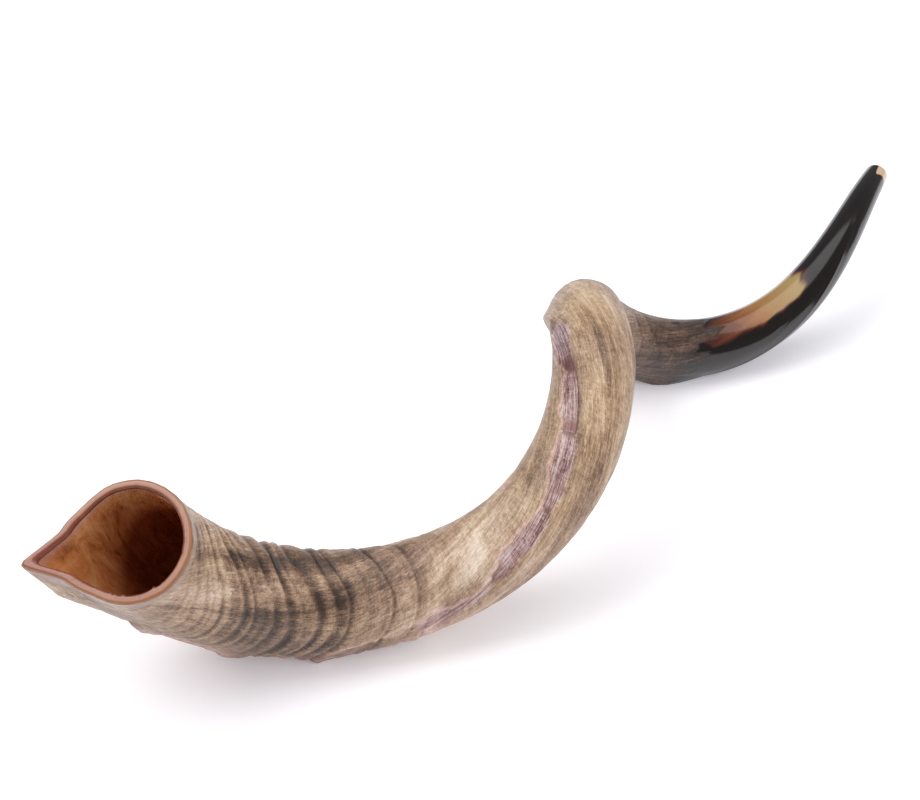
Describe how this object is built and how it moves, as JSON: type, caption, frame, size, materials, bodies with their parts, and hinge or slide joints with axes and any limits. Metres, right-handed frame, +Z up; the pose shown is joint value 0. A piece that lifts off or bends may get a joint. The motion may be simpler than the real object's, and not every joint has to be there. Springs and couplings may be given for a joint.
{
  "type": "shofar",
  "caption": "Long twisted kudu-horn trumpet: ringed horn sheath with a ground keel, polished flared bell with a pointed lip, and a dark polished tip cut as a mouthpiece.",
  "frame": {"origin": "centre of the bounding box in plan, at the level of the surface that the horn lies on", "axes": "+X runs along the coil's axis from the bell to the mouthpiece, +Z is up as the horn lies at rest, and the near side with the rising coil faces -Y"},
  "size_m": [0.8218, 0.2118, 0.1557],
  "materials": {
    "polished_rim": "ground and polished pink-tan keratin",
    "ringed_sheath": "weathered grey-tan keratin with growth rings, thin lacquer",
    "fibrous_sheath": "tan fibrous keratin with mauve ground keel facets, thin lacquer",
    "grey_sheath": "rough grey-brown keratin",
    "polished_dark_horn": "high polish, black with a cream and amber streak",
    "cut_end": "polished cut end with a cream patch",
    "inner_layer": "smooth orange-brown inner layer, glossy"
  },
  "bodies": {
    "root": {"bell_rim": "polished_rim", "ringed_bell": "ringed_sheath", "lower_curve": "fibrous_sheath", "rising_curve": "fibrous_sheath", "loop_crest": "fibrous_sheath", "rough_neck": "grey_sheath", "polished_throat": "polished_dark_horn", "solid_tip": "polished_dark_horn", "mouthpiece": "cut_end", "bore_lining": "inner_layer"}
  },
  "joints": []
}
